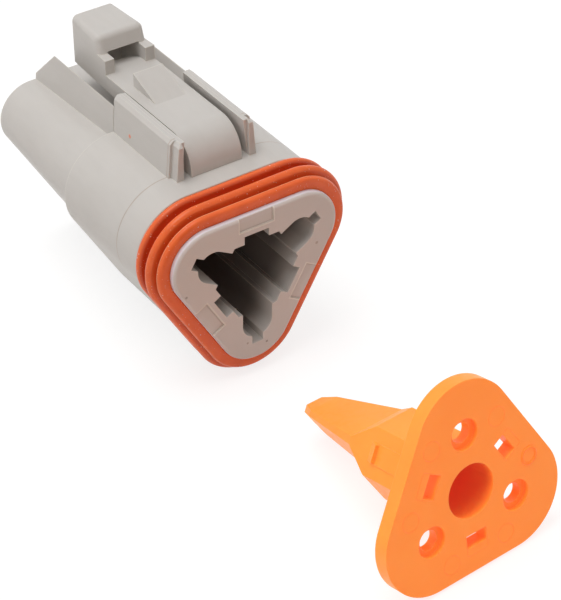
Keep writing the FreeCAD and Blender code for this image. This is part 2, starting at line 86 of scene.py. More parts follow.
def rounded_triangle(flat: float, corner: float, arc_steps: int,
                     side_steps: int) -> tuple[np.ndarray, np.ndarray]:
    """Closed outline of a triangle with rounded corners, and its outward directions.

    A corner's arc of radius c stands round a centre at 2 * (flat - c) from the middle and
    sweeps 60 degrees to each side; straight runs join one arc's end to the next arc's start.

    Args:
        flat: distance of a flat side from the middle.
        corner: radius of a corner.
        arc_steps: parts of each arc.
        side_steps: parts of each straight run.

    Returns:
        Points and unit directions, each an array of (x, z) rows, counter-clockwise.
    """
    points, ways = [], []
    for number, angle in enumerate(CORNERS):
        centre = 2 * (flat - corner) * ray(angle)
        turn = np.linspace(angle - HALF_CORNER, angle + HALF_CORNER, arc_steps + 1)
        points.append(centre + corner * ray(turn))
        ways.append(ray(turn))
        following = CORNERS[(number + 1) % 3]
        start = points[-1][-1]
        finish = 2 * (flat - corner) * ray(following) + corner * ray(following - HALF_CORNER)
        share = np.linspace(0, 1, side_steps + 1)[1:-1, None]
        points.append(start + (finish - start) * share)
        ways.append(np.repeat(ray(angle + HALF_CORNER)[None], side_steps - 1, axis=0))
    return np.vstack(points), np.vstack(ways)


def ray(angle: Union[float, np.ndarray]) -> np.ndarray:
    """Unit direction (cos, sin) of an angle in degrees, or rows of them."""
    turn = np.radians(angle)
    return np.stack([np.cos(turn), np.sin(turn)], axis=-1)


def arc(centre: Span, radius: float, first: float, last: float, steps: int) -> np.ndarray:
    """Points on a circle's arc, centre + radius * (cos, sin), from one angle to another."""
    return np.array(centre) + radius * ray(np.linspace(first, last, steps + 1))


def swept(path: np.ndarray, ways: np.ndarray, profile: np.ndarray) -> np.ndarray:
    """Grid of a profile carried round the plug's axis.

    Point (u, v) is the outline's point u moved outward by the profile's height v, and it
    lies at the profile's station v along Y.

    Args:
        path: outline points (x, z).
        ways: outward directions (x, z).
        profile: rows of (station, height).

    Returns:
        Array of shape (u, v, 3).
    """
    flat = path[:, None, :] + ways[:, None, :] * profile[None, :, 1:2]
    station = np.broadcast_to(profile[None, :, 0], flat.shape[:2])
    return np.stack([flat[..., 0], station, flat[..., 1]], axis=-1)


def grid_faces(across: int, along: int, wrap_across: bool, wrap_along: bool,
               first: int = 0) -> np.ndarray:
    """Quads of a grid of points: each joins (u, v), (u+1, v), (u+1, v+1) and (u, v+1).

    Args:
        across: points along u.
        along: points along v.
        wrap_across: whether the last u joins the first.
        wrap_along: whether the last v joins the first.
        first: number of the grid's first point.

    Returns:
        Rows of four point numbers.
    """
    u = np.arange(across if wrap_across else across - 1)[:, None]
    v = np.arange(along if wrap_along else along - 1)[None, :]
    next_u, next_v = (u + 1) % across, (v + 1) % along
    quads = [u * along + v, next_u * along + v, next_u * along + next_v, u * along + next_v]
    return np.stack(np.broadcast_arrays(*quads), axis=-1).reshape(-1, 4) + first


def mesh_piece(name: str, sheets: list[tuple[np.ndarray, bool, bool]],
               body: Body, smooth: bool = True) -> bpy.types.Object:
    """One closed piece from grids of points that meet at their borders.

    Args:
        name: the piece's name.
        sheets: for each grid its points (u, v, 3) in millimetres and whether u and v wrap.
        body: the body that it rides on.
        smooth: whether its faces are shaded as one round surface.

    Returns:
        The object, at the origin, with its doubles merged and its faces outward.
    """
    points, faces, first = [], [], 0
    for grid, wrap_u, wrap_v in sheets:
        faces.append(grid_faces(grid.shape[0], grid.shape[1], wrap_u, wrap_v, first))
        points.append(grid.reshape(-1, 3) * MM)
        first += points[-1].shape[0]
    mesh = bpy.data.meshes.new(name)
    mesh.from_pydata(np.vstack(points).tolist(), [], np.vstack(faces).tolist())
    work = bmesh.new()
    work.from_mesh(mesh)
    bmesh.ops.remove_doubles(work, verts=work.verts, dist=MERGE * MM)
    bmesh.ops.recalc_face_normals(work, faces=work.faces)
    work.to_mesh(mesh)
    work.free()
    if smooth:
        mesh.shade_smooth()
    piece = bpy.data.objects.new(name, mesh)
    bpy.context.scene.collection.objects.link(piece)
    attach(piece, body.value)
    return piece


# Finishes: one node graph for each.


@dataclass(frozen=True)
class Noise:
    """Noise pattern: features in a millimetre, and the part of its range that counts."""

    per_mm: float
    detail: float = 2.0
    stretch: Point = (1.0, 1.0, 1.0)
    part: Span = (0.2, 0.8)
    twist: float = 0.0


def paint(colour: Input) -> Input:
    """A colour with its fourth number, or the socket as it is."""
    return (*colour, 1.0) if isinstance(colour, tuple) and len(colour) == 3 else colour


class Nodes:
    """Writes nodes and their links in one tree."""

    def __init__(self, tree: bpy.types.NodeTree) -> None:
        """Empties the tree and starts in it."""
        self.tree = tree
        self.tree.nodes.clear()

    def add(self, kind: str, inputs: dict | None = None, **settings: object) -> bpy.types.Node:
        """Adds a node.

        Args:
            kind: the node's type.
            inputs: for each input's name or number a socket to link or a value to set.
            settings: the node's own properties.

        Returns:
            The node.
        """
        node = self.tree.nodes.new(kind)
        for key, value in settings.items():
            setattr(node, key, value)
        for key, value in (inputs or {}).items():
            if isinstance(value, Socket):
                self.tree.links.new(value, node.inputs[key])
            else:
                node.inputs[key].default_value = value
        return node

    def math(self, operation: str, first: Input, second: Input = 0.0) -> Socket:
        """One sum on numbers."""
        return self.add("ShaderNodeMath", {0: first, 1: second}, operation=operation).outputs[0]

    def times(self, first: Input, second: Input) -> Socket:
        """Product of two numbers."""
        return self.math("MULTIPLY", first, second)

    def plus(self, first: Input, second: Input) -> Socket:
        """Sum of two numbers."""
        return self.math("ADD", first, second)

    def vector(self, operation: str, *inputs: Input) -> bpy.types.Node:
        """One sum on vectors, whose result is its first output or the one named Value."""
        return self.add("ShaderNodeVectorMath", dict(enumerate(inputs)), operation=operation)

    def mix(self, share: Input, first: Input, second: Input) -> Socket:
        """Colour between two colours; a mix node's colours are its inputs 6 and 7."""
        made = self.add("ShaderNodeMix", {0: share, 6: paint(first), 7: paint(second)},
                        data_type="RGBA")
        return made.outputs[2]

    def tint(self, colour: Input, other: Input, mask: Input, share: float) -> Socket:
        """Colour that goes toward another one by a share of a mask."""
        return self.mix(self.times(mask, share), colour, other)

    def seen_directly(self) -> Socket:
        """Tells the rays that show the background: from the camera, off gloss, through glass.

        Returns:
            1 for these rays and 0 for the rest.
        """
        path = self.add("ShaderNodeLightPath").outputs
        total = path["Is Camera Ray"]
        for name in ("Is Glossy Ray", "Is Transmission Ray"):
            total = self.math("MAXIMUM", total, path[name])
        return total

    def either(self, kind: str, shown: Socket, otherwise: Socket) -> None:
        """Ends the tree: one shader for rays that show the background, one for the rest."""
        mixed = self.add("ShaderNodeMixShader", {0: self.seen_directly(), 1: otherwise,
                                                 2: shown})
        self.add(kind, {0: mixed.outputs[0]})


class Graph(Nodes):
    """Writes the nodes of one material. Places and reliefs in it are metres.

    A spot's and a band's cores are the shares that are full; edge_turn is the range of the
    cosine between the two normals over which an edge fades.
    """

    spot_core: float = 0.7
    band_core: float = 0.5
    edge_turn: Span = (0.80, 0.985)
    bevel_samples: int = 6

    def __init__(self, name: str) -> None:
        """Starts an empty material.

        Args:
            name: the material's name.
        """
        self.material = bpy.data.materials.new(name)
        self.material.use_nodes = True
        super().__init__(self.material.node_tree)
        self.place = self.add("ShaderNodeTexCoord").outputs["Object"]

    def noise(self, pattern: Noise) -> Socket:
        """Noise from 0 to 1, stretched along the axes.

        Args:
            pattern: which noise.

        Returns:
            Its value at the place.
        """
        scaled = self.add("ShaderNodeMapping", {"Vector": self.place, "Scale": pattern.stretch})
        made = self.add("ShaderNodeTexNoise", {
            "Vector": scaled.outputs[0], "Scale": pattern.per_mm / MM,
            "Detail": pattern.detail, "Distortion": pattern.twist})
        return made.outputs[0]

    def spread(self, pattern: Noise, start: float = 0.0, end: float = 1.0) -> Socket:
        """The part of a noise that counts, as start to end."""
        return self.ramp(self.noise(pattern), *pattern.part, start, end)

    def relief(self, pattern: Noise, height: float) -> Socket:
        """Noise as a relief whose full height is in millimetres."""
        return self.times(self.noise(pattern), height * MM)

    def ramp(self, value: Input, low: float, high: float, start: float = 0.0,
             end: float = 1.0) -> Socket:
        """Smooth step of a number from low to high, as start to end."""
        made = self.add("ShaderNodeMapRange", {0: value, 1: low, 2: high, 3: start, 4: end},
                        interpolation_type="SMOOTHSTEP")
        return made.outputs[0]

    def rise(self, value: Input, low: float, high: float) -> Socket:
        """0 below low and 1 above high, both in millimetres."""
        return self.ramp(value, low * MM, high * MM)

    def fall(self, value: Input, low: float, high: float) -> Socket:
        """1 below low and 0 above high, both in millimetres."""
        return self.ramp(value, low * MM, high * MM, 1.0, 0.0)

    def near(self, point: Point, radius: float) -> Socket:
        """1 within a radius of a point, in millimetres, and 0 outside, with a soft edge."""
        away = self.vector("DISTANCE", self.place, tuple(x * MM for x in point))
        return self.fall(away.outputs["Value"], self.spot_core * radius, radius)

    def band(self, value: Socket, centre: float, half: float) -> Socket:
        """1 where a number is within half of centre, in millimetres, with soft edges."""
        away = self.math("ABSOLUTE", self.math("SUBTRACT", value, centre * MM))
        return self.fall(away, self.band_core * half, half)

    def axis(self, name: str, place: Socket | None = None) -> Socket:
        """One coordinate of the place, or of another one."""
        point = self.place if place is None else place
        return self.add("ShaderNodeSeparateXYZ", {0: point}).outputs[name]

    def along(self, angle: float) -> Socket:
        """How far the place lies from the axis in a direction, in degrees."""
        way = ray(angle)
        return self.vector("DOT_PRODUCT", self.place,
                           (float(way[0]), 0.0, float(way[1]))).outputs["Value"]

    def from_axis(self, place: Socket | None = None) -> Socket:
        """Distance from the Y axis: the length of (x, z).

        Args:
            place: another place than the material's own.

        Returns:
            The distance.
        """
        point = self.place if place is None else place
        flat = self.vector("MULTIPLY", point, (1.0, 0.0, 1.0))
        return self.vector("LENGTH", flat.outputs[0]).outputs["Value"]

    def from_flats(self) -> Socket:
        """Distance of the place from the middle toward the nearest flat side.

        Returns:
            The largest of the distances along the three sides' directions.
        """
        found = self.along(FLATS[0])
        for angle in FLATS[1:]:
            found = self.math("MAXIMUM", found, self.along(angle))
        return found

    def from_panels(self, half: float, foot: float) -> Socket:
        """Signed distance of the place from the nose panels' outline.

        On each flat side a panel is a strip of twice half across that starts at foot from the
        middle. The distance is the larger of |across| - half and foot - outward, and the
        smallest of the three counts. It is negative inside.

        Args:
            half: half of a panel's width, in millimetres.
            foot: where a panel starts, in millimetres.

        Returns:
            The distance.
        """
        found = None
        for angle in FLATS:
            across = self.math("ABSOLUTE", self.along(angle + 90.0))
            outline = self.math("MAXIMUM", self.math("SUBTRACT", across, half * MM),
                                self.math("SUBTRACT", foot * MM, self.along(angle)))
            found = outline if found is None else self.math("MINIMUM", found, outline)
        return found

    def rounded(self, radius: float) -> Socket:
        """Normal of the surface as if its edges were rounded by a radius in millimetres."""
        return self.add("ShaderNodeBevel", {"Radius": radius * MM},
                        samples=self.bevel_samples).outputs[0]

    def edges(self, radius: float) -> Socket:
        """Finds edges: there the rounded normal turns away from the true one.

        Args:
            radius: how far from an edge, in millimetres.

        Returns:
            1 on an edge and 0 on a flat.
        """
        true = self.add("ShaderNodeNewGeometry").outputs["True Normal"]
        turn = self.vector("DOT_PRODUCT", self.rounded(radius), true).outputs["Value"]
        return self.ramp(turn, *self.edge_turn, 1.0, 0.0)

    def finish(self, colour: Input, roughness: Input, height: Socket, soft_edge: float,
               **fixed: Input) -> bpy.types.Material:
        """Joins everything in one surface.

        Args:
            colour: base colour.
            roughness: roughness.
            height: relief.
            soft_edge: radius in millimetres by which edges look rounded.
            fixed: further inputs, with underscores for spaces.

        Returns:
            The material.
        """
        relief = self.add("ShaderNodeBump", {
            "Strength": 1.0, "Distance": 1.0, "Height": height,
            "Normal": self.rounded(soft_edge)})
        values = {"Base Color": paint(colour), "Roughness": roughness,
                  "Normal": relief.outputs[0]}
        values.update({key.replace("_", " "): value for key, value in fixed.items()})
        surface = self.add("ShaderNodeBsdfPrincipled", values)
        self.add("ShaderNodeOutputMaterial", {"Surface": surface.outputs[0]})
        return self.material


@dataclass(frozen=True)
class MouldLineAndPaintedShadow:
    """Fine raised line where two halves of the mould met, at one station along the axis. With no
    height it is only a dark band, a painted shadow where two parts meet.
    """

    station: float
    beyond: float
    half: float = 0.07
    height: float = 0.03
    fade: float = 0.1


@dataclass(frozen=True)
class Mark:
    """Small spot in another colour, with its depth."""

    place: Point
    radius: float
    colour: Colour
    depth: float = 0.0


@dataclass(frozen=True)
class NoseTone:
    """Painted light on the nose: a warmer painted bounce light on the front, a pale bluish
    painted highlight on the rim, painted highlight and shadow lines at the panels' outlines and
    painted shade in the cavity.
    """

    # Painted bounce light: the front face is tinted warmer, as if lit by warm light from nearby.
    painted_warm_bounce: Colour = (0.68, 0.63, 0.60)
    painted_warm_bounce_share: float = 0.8
    front: Span = (0.15, 0.45)
    panel_half: float = 2.45
    panel_foot: float = 7.1
    # Painted highlight: a pale line just outside each panel's outline.
    ridge: Colour = (0.86, 0.82, 0.74)
    painted_panel_highlight_band: Span = (0.08, 0.14)
    painted_panel_highlight_share: float = 0.60
    # Painted shadow: a dark line just inside each panel's outline.
    painted_panel_shadow: Colour = (0.36, 0.30, 0.27)
    painted_panel_shadow_band: Span = (-0.08, 0.13)
    painted_panel_shadow_share: float = 0.45
    # Painted highlight: a pale bluish reflection along the nose's rounded rim.
    rim: Colour = (0.80, 0.84, 0.92)
    painted_rim_highlight_band: Span = (0.62, 0.46)
    # Painted shade: the cavity's colour darkens toward this tone with depth.
    painted_cavity_shade: Colour = (0.24, 0.225, 0.215)
    circle: Span = (11.0, 11.5)
    flats: Span = (8.2, 8.5)
    depth: Span = (0.8, 5.5)

    def laid(self, graph: Graph, colour: Socket) -> Socket:
        """Lays the painted light and shade over a colour.

        The front gets a warmer tone as painted bounce light. Each panel has a painted highlight
        line outside its outline and a painted shadow line inside. The cavity is inside both a
        circle and the flat sides, and painted shade darkens it more with depth. The rim is a band
        of stations outside it, with a pale bluish painted highlight.

        Args:
            graph: the material's nodes.
            colour: what they lie on.

        Returns:
            The colour with them.
        """
        depth = graph.axis("Y")
        front = graph.fall(depth, *self.front)
        # Painted warm bounce light on the front face.
        colour = graph.tint(colour, self.painted_warm_bounce, front, self.painted_warm_bounce_share)
        panel = graph.from_panels(self.panel_half, self.panel_foot)
        # Painted highlight line just outside each panel's outline; it is colour only.
        ridge = graph.times(graph.band(panel, *self.painted_panel_highlight_band), front)
        colour = graph.tint(colour, self.ridge, ridge, self.painted_panel_highlight_share)
        # Painted shadow line just inside each panel's outline.
        painted_panel_shadow = graph.times(graph.band(panel, *self.painted_panel_shadow_band), front)
        colour = graph.tint(colour, self.painted_panel_shadow, painted_panel_shadow, self.painted_panel_shadow_share)
        within = graph.times(graph.fall(graph.from_axis(), *self.circle),
                             graph.fall(graph.from_flats(), *self.flats))
        outside = graph.math("SUBTRACT", 1.0, within)
        # Painted highlight on the rim, outside the cavity.
        rim = graph.times(graph.band(depth, *self.painted_rim_highlight_band), outside)
        colour = graph.mix(rim, colour, self.rim)
        # Painted shade: the cavity darkens with depth.
        deep = graph.times(within, graph.rise(depth, *self.depth))
        return graph.mix(deep, colour, self.painted_cavity_shade)


@dataclass(frozen=True)
class HousingPlastic:
    """Light grey filled plastic with a fine grain, faint flow streaks and mould lines."""

    colour: Colour = (0.625, 0.600, 0.570)
    streak: Colour = (0.580, 0.555, 0.525)
    streaks: Noise = Noise(0.9, 4.0, (1.0, 0.22, 1.0), (0.35, 0.75))
    streak_share: float = 0.35
    clouds: Noise = Noise(0.16, 3.0, part=(0.3, 0.7))
    cloud_share: float = 0.30
    # Painted highlight: a paler tone along edges, where they catch the light.
    painted_edge_highlight: Colour = (0.86, 0.82, 0.74)
    painted_edge_highlight_reach: float = 0.22
    painted_edge_highlight_share: float = 0.65
    # Dark tone of the mould lines; the same tone is a painted shadow where the collar meets the
    # seal.
    line: Colour = (0.44, 0.29, 0.20)
    line_and_painted_shadow_share: float = 0.55
    mark_share: float = 0.8
    grain: Noise = Noise(7.0, 3.0)
    grain_height: float = 0.0016
    swell: Noise = Noise(0.35, 1.0)
    swell_height: float = 0.012
    gloss: Noise = Noise(2.2, 4.0)
    roughness: Span = (0.39, 0.51)
    soft_edge: float = 0.09

    def material(self, name: str, lines: tuple[MouldLineAndPaintedShadow, ...] = (),
                 marks: tuple[Mark, ...] = (), nose: NoseTone | None = None
                 ) -> bpy.types.Material:
        """Makes the finish, with a painted highlight along its edges.

        Streaks are noise stretched along Y. The relief is fine grain plus a slow swell, plus
        a rounded ridge at each mould line, minus a dimple at each mark.

        Args:
            name: the material's name.
            lines: mould lines, and bands with no height that paint a shadow where parts meet.
            marks: spots.
            nose: the painted light and shade of the nose, for the piece that has it.

        Returns:
            The material.
        """
        graph = Graph(name)
        streaks = graph.spread(self.streaks)
        colour = graph.tint(self.colour, self.streak, streaks, self.streak_share)
        colour = graph.tint(colour, self.streak, graph.spread(self.clouds), self.cloud_share)
        if nose:
            colour = nose.laid(graph, colour)
        # Painted highlight along the edges.
        colour = graph.tint(colour, self.painted_edge_highlight, graph.edges(self.painted_edge_highlight_reach), self.painted_edge_highlight_share)
        height = graph.plus(graph.relief(self.grain, self.grain_height),
                            graph.relief(self.swell, self.swell_height))
        # Mould lines, and the painted shadow band where the collar meets the seal.
        for line in lines:
            outside = graph.rise(graph.from_axis(), line.beyond - line.fade, line.beyond)
            ridge = graph.band(graph.axis("Y"), line.station, line.half)
            ridge = graph.times(ridge, outside)
            colour = graph.tint(colour, self.line, ridge, self.line_and_painted_shadow_share)
            height = graph.plus(height, graph.times(ridge, line.height * MM))
        for mark in marks:
            spot = graph.near(mark.place, mark.radius)
            colour = graph.tint(colour, mark.colour, spot, self.mark_share)
            height = graph.math("SUBTRACT", height, graph.times(spot, mark.depth * MM))
        roughness = graph.spread(self.gloss, *self.roughness)
        return graph.finish(colour, roughness, height, self.soft_edge, Subsurface_Weight=0.12,
                            Subsurface_Radius=(1.0, 0.8, 0.7), Subsurface_Scale=0.7 * MM,
                            Specular_IOR_Level=0.42)


@dataclass(frozen=True)
class Specks:
    """Specks in the middle of some cells of a cell pattern.

    A cell has one where its own random number is above chosen. Reach is a speck's radius as a
    share of a cell.
    """

    per_mm: float
    reach: float
    chosen: float
    stretch: Point = (1.0, 1.0, 1.0)
    core: float = 0.5

    def mask(self, graph: Graph) -> Socket:
        """Finds the specks.

        Args:
            graph: the material's nodes.

        Returns:
            1 in a speck and 0 between them.
        """
        scaled = graph.add("ShaderNodeMapping", {"Vector": graph.place, "Scale": self.stretch})
        cells = graph.add("ShaderNodeTexVoronoi", {
            "Vector": scaled.outputs[0], "Scale": self.per_mm / MM})
        near = graph.ramp(cells.outputs["Distance"], self.core * self.reach, self.reach, 1.0, 0.0)
        number = graph.add("ShaderNodeSeparateColor", {0: cells.outputs["Color"]}).outputs[0]
        return graph.times(near, graph.math("GREATER_THAN", number, self.chosen))


@dataclass(frozen=True)
class SealRubber:
    """Soft silicone in red orange, faintly translucent, with dust and lint on it."""

    colour: Colour = (0.92, 0.158, 0.028)
    deep: Colour = (0.76, 0.100, 0.016)
    clouds: Noise = Noise(0.5, 3.0, part=(0.3, 0.7))
    cloud_share: float = 0.35
    # Painted shade: the grooves are tinted darker red, where shade falls.
    painted_hollow_shade: Colour = (0.48, 0.040, 0.012)
    painted_hollow_shade_share: float = 0.65
    pale: Colour = (0.98, 0.46, 0.24)
    pale_half: float = 0.10
    pale_share: float = 0.70
    dust: Colour = (0.86, 0.68, 0.58)
    dust_share: float = 0.85
    dust_height: float = 0.02
    specks: tuple[Specks, ...] = (
        Specks(1.3, 0.13, 0.60), Specks(2.6, 0.16, 0.78), Specks(4.5, 0.18, 0.88),
        Specks(2.2, 0.11, 0.80, (1.0, 0.9, 0.22)),
    )
    grain: Noise = Noise(5.0, 3.0)
    grain_height: float = 0.004
    gloss: Noise = Noise(1.7, 3.0)
    roughness: Span = (0.29, 0.46)
    soft_edge: float = 0.05

    def material(self, name: str, flash: float = 0.0,
                 grooves: tuple[Span, ...] = ()) -> bpy.types.Material:
        """Makes the finish: a clouded tone, painted shade in the grooves, and a fine grain with
        dust.

        Args:
            name: the material's name.
            flash: station of the mould's pale flash line, or 0 for none.
            grooves: station and half width of each groove, which gets painted shade.

        Returns:
            The material.
        """
        graph = Graph(name)
        colour = graph.tint(self.colour, self.deep, graph.spread(self.clouds), self.cloud_share)
        # Painted shade in the grooves.
        for station, half in grooves:
            sunk = graph.band(graph.axis("Y"), station, half)
            colour = graph.tint(colour, self.painted_hollow_shade, sunk, self.painted_hollow_shade_share)
        height = graph.relief(self.grain, self.grain_height)
        for specks in self.specks:
            grain = specks.mask(graph)
            colour = graph.tint(colour, self.dust, grain, self.dust_share)
            height = graph.plus(height, graph.times(grain, self.dust_height * MM))
        if flash:
            line = graph.band(graph.axis("Y"), flash, self.pale_half)
            colour = graph.tint(colour, self.pale, line, self.pale_share)
        roughness = graph.spread(self.gloss, *self.roughness)
        return graph.finish(colour, roughness, height, self.soft_edge, Subsurface_Weight=0.12,
                            Subsurface_Radius=(1.0, 0.22, 0.08), Subsurface_Scale=0.7 * MM,
                            Specular_IOR_Level=0.42)


@dataclass(frozen=True)
class LockPlastic:
    """Bright orange unfilled plastic with a painted glow: it emits light though it is no lamp,
    less on the walls of its bore and holes.
    """

    colour: Colour = (0.99, 0.325, 0.030)
    pale: Colour = (1.00, 0.350, 0.038)
    clouds: Noise = Noise(0.22, 4.0, part=(0.3, 0.75))
    # Painted shade: a redder, darker tone on the walls of the plate's holes.
    wall: Colour = (1.0, 0.25, 0.03)
    painted_wall_shade_share: float = 0.6
    # Painted shade: a redder, darker tone inside the bore.
    painted_hollow_shade: Colour = (0.98, 0.24, 0.035)
    painted_hollow_shade_share: float = 0.85
    # Painted highlight: a paler orange along edges, where they catch the light.
    painted_edge_highlight: Colour = (1.0, 0.44, 0.10)
    painted_edge_highlight_reach: float = 0.15
    painted_edge_highlight_share: float = 0.5
    # Painted glow: emission colour, though the lock is no lamp; the next two dim it on the hollow
    # walls.
    painted_glow: Colour = (1.0, 0.19, 0.045)
    painted_glow_dim: Colour = (0.20, 0.025, 0.020)
    painted_glow_dim_share: float = 0.45
    bore_start: Span = (0.2, 1.4)
    bore_end: Span = (10.6, 10.8)
    bore_fade: float = 0.1
    plate_start: Span = (0.15, 0.5)
    plate_end: Span = (1.75, 1.85)
    rim_fade: float = 0.3
    swirl: Noise = Noise(0.7, 5.0, twist=1.8)
    swirl_height: float = 0.010
    grain: Noise = Noise(8.0, 2.0)
    grain_height: float = 0.0012
    gloss: Noise = Noise(1.2, 4.0)
    roughness: Span = (0.32, 0.46)
    soft_edge: float = 0.12

    def material(self, name: str, place: Point, turns: Point,
                 bore: float, rim: float) -> bpy.types.Material:
        """Makes the finish: clouds of a paler tone, faint swirls, a fine grain and a painted
        glow.

        In the lock's own frame, the walls of the bore and of the holes in the plate are painted
        redder as painted shade, and their painted glow is dimmer than the rest's.

        Args:
            name: the material's name.
            place: where the middle of the lock's face lies.
            turns: how the lock is turned about X, Y and Z, in radians.
            bore: reach of the painted shade round the bore's middle.
            rim: reach of the painted shade in the plate, inside its outer rim.

        Returns:
            The material.
        """
        graph = Graph(name)
        own = graph.add("ShaderNodeMapping", {
            "Vector": graph.place, "Location": tuple(x * MM for x in place),
            "Rotation": turns}, vector_type="TEXTURE").outputs[0]
        depth, away = graph.axis("Y", own), graph.from_axis(own)
        # Painted shade inside the bore, in the lock's own frame.
        painted_hollow_shade = graph.times(graph.rise(depth, *self.bore_start),
                             graph.fall(depth, *self.bore_end))
        painted_hollow_shade = graph.times(painted_hollow_shade, graph.fall(away, bore - self.bore_fade, bore))
        # Painted shade on the plate's walls, inside its outer rim.
        painted_shade_walls = graph.times(graph.rise(depth, *self.plate_start),
                            graph.fall(depth, *self.plate_end))
        painted_shade_walls = graph.times(painted_shade_walls, graph.fall(away, rim - self.rim_fade, rim))
        colour = graph.mix(graph.spread(self.clouds), self.colour, self.pale)
        colour = graph.tint(colour, self.wall, painted_shade_walls, self.painted_wall_shade_share)
        colour = graph.tint(colour, self.painted_hollow_shade, painted_hollow_shade, self.painted_hollow_shade_share)
        # Painted highlight along the edges.
        colour = graph.tint(colour, self.painted_edge_highlight, graph.edges(self.painted_edge_highlight_reach), self.painted_edge_highlight_share)
        # Painted glow, dimmer on the walls of the bore and holes.
        painted_glow = graph.tint(self.painted_glow, self.painted_glow_dim, painted_shade_walls, self.painted_glow_dim_share)
        painted_glow = graph.mix(painted_hollow_shade, painted_glow, self.painted_glow_dim)
        height = graph.plus(graph.relief(self.swirl, self.swirl_height),
                            graph.relief(self.grain, self.grain_height))
        roughness = graph.spread(self.gloss, *self.roughness)
        # The emission is a painted glow, not a lamp.
        return graph.finish(colour, roughness, height, self.soft_edge, Subsurface_Weight=0.30,
                            Subsurface_Radius=(1.0, 0.30, 0.07), Subsurface_Scale=1.3 * MM,
                            Specular_IOR_Level=0.30, Emission_Color=painted_glow,
                            Emission_Strength=0.41)


def dress(piece: bpy.types.Object, material: bpy.types.Material) -> None:
    """Puts one finish on the whole piece."""
    piece.data.materials.clear()
    piece.data.materials.append(material)


# Sub-assemblies.


@dataclass
class Housing:
    """Grey shells and the sprung latch: the solids' own shapes with their finish."""

    finish: HousingPlastic = HousingPlastic()
    nose: NoseTone = NoseTone()
    parting: MouldLineAndPaintedShadow = MouldLineAndPaintedShadow(station=10.35, beyond=10.2)
    # Painted shadow: a dark band with no relief where the collar meets the seal.
    collar_seal_painted_shadow: MouldLineAndPaintedShadow = MouldLineAndPaintedShadow(station=5.66, beyond=10.0, half=0.14, height=0.0)
    front_marks: tuple[Mark, ...] = (
        Mark((-10.28, 0.0, 0.80), 0.22, (0.36, 0.29, 0.25), 0.04),
        Mark((-1.55, 0.0, -10.07), 0.18, (0.42, 0.34, 0.29), 0.03),
        Mark((1.34, 0.0, -11.0), 0.20, (0.38, 0.31, 0.27), 0.04),
        Mark((8.88, 0.0, 1.14), 0.24, (0.48, 0.41, 0.36), 0.03),
        Mark((-6.20, 18.95, 12.21), 0.36, (0.80, 0.20, 0.07), -0.03),
        Mark((-6.20, 14.0, 11.74), 0.14, (0.72, 0.70, 0.66), -0.02),
    )
    latch_marks: tuple[Mark, ...] = (
        Mark((-2.28, 8.6, 12.93), 0.20, (0.74, 0.68, 0.60), -0.02),
    )

    def build(self) -> None:
        """Dresses the three grey solids."""
        for node, lines, marks, nose in (
            ("front_shell", (self.parting, self.collar_seal_painted_shadow), self.front_marks, self.nose),
            ("rear_shell", (), (), None),
            ("latch_arm", (), self.latch_marks, None),
        ):
            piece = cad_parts[node]
            dress(piece, self.finish.material("plastic_" + node, lines, marks, nose))
            log.info("%s: grey plastic, %d faces", node, len(piece.data.polygons))


@dataclass
class WingLips:
    """Inner faces of the guard wings, which lean toward the latch as the outer ones do."""

    wall: float = 4.75
    foot_reach: float = 0.01
    reach: float = 0.5
    sunk: float = 0.2
    foot: float = 10.9
    crest: float = 15.98
    front: float = 9.05
    rear: float = 22.7
    finish: HousingPlastic = HousingPlastic()

    def sheets(self, side: float) -> list[tuple[np.ndarray, bool, bool]]:
        """Four-cornered section along the wing, and an end each way.

        At the foot it is flush with the wing's face, and at the crest it stands off by reach.

        Args:
            side: -1 for the left wing and 1 for the right one.

        Returns:
            Grids of points, as mesh_piece takes them.
        """
        section = side * np.array([self.wall - self.foot_reach, self.wall - self.reach,
                                   self.wall + self.sunk, self.wall + self.sunk])
        height = np.array([self.foot, self.crest, self.crest, self.foot])
        station = np.array([self.front, self.rear])
        grid = np.stack(np.broadcast_arrays(section[:, None], station, height[:, None]), axis=-1)
        ends = [(grid[[0, 1, 3, 2], end].reshape(2, 2, 3), False, False) for end in (0, 1)]
        return [(grid, True, False), *ends]

    def build(self) -> None:
        """Makes both lips as one piece."""
        made = self.sheets(-1.0) + self.sheets(1.0)
        piece = mesh_piece("wing_lips", made, Body.PLUG, smooth=False)
        dress(piece, self.finish.material("plastic_wing_lips"))
        log.info("wing_lips: %d faces", len(piece.data.polygons))


@dataclass
class Rib:
    """Round rib of a seal: where its middle is, how high its crest stands, its radius."""

    station: float
    crest: float
    radius: float


